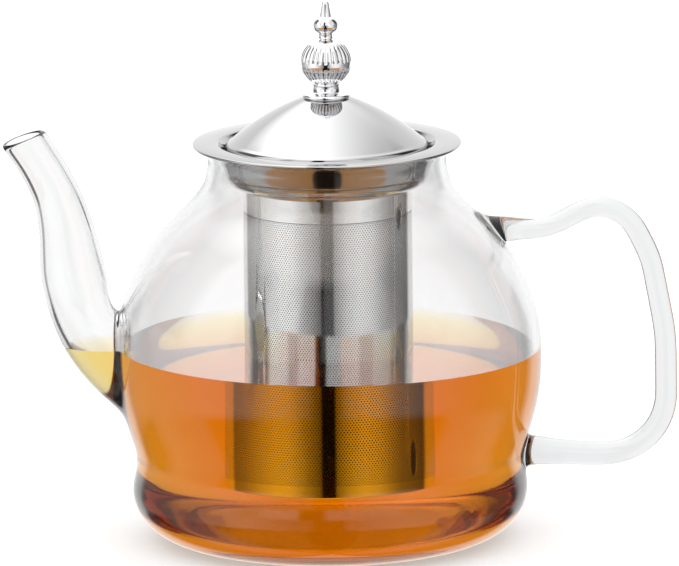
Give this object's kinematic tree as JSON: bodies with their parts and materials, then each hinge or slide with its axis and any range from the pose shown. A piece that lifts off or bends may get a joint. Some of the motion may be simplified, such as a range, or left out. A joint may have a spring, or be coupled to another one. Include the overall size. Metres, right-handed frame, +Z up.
{
  "type": "glass teapot",
  "caption": "Round blown-glass teapot with a glass spout and rod handle, a lift-out perforated steel infuser and a domed steel lid with a turned knob.",
  "frame": {"origin": "centre of the flat base, on the body's axis, where the pot rests", "axes": "+Z up the body's axis, +X towards the handle, -X towards the spout"},
  "size_m": [0.2224, 0.1404, 0.1799],
  "materials": {
    "borosilicate_glass": "clear, fire polished",
    "polished_steel": "mirror polished stainless steel",
    "perforated_steel": "satin perforated stainless sheet",
    "chromed_metal": "bright chrome plate on a turned and ribbed knob",
    "plain_steel": "plain stainless steel"
  },
  "bodies": {
    "pot": {"glass_body": "borosilicate_glass", "spout": "borosilicate_glass", "handle": "borosilicate_glass", "handle_upper_joint": "borosilicate_glass", "handle_lower_joint": "borosilicate_glass"},
    "infuser": {"infuser_rim": "polished_steel", "basket_wall": "perforated_steel", "basket_bottom": "perforated_steel"},
    "lid": {"lid_shell": "polished_steel", "knob": "chromed_metal", "knob_washer": "plain_steel", "knob_screw": "plain_steel"}
  },
  "joints": [
    {"name": "infuser_lift", "type": "slide", "parent": "pot", "child": "infuser", "axis": [0, 0, 1], "range_m": [0, 0.125]},
    {"name": "lid_lift", "type": "slide", "parent": "infuser", "child": "lid", "axis": [0, 0, 1], "range_m": [0, 0.04]}
  ]
}
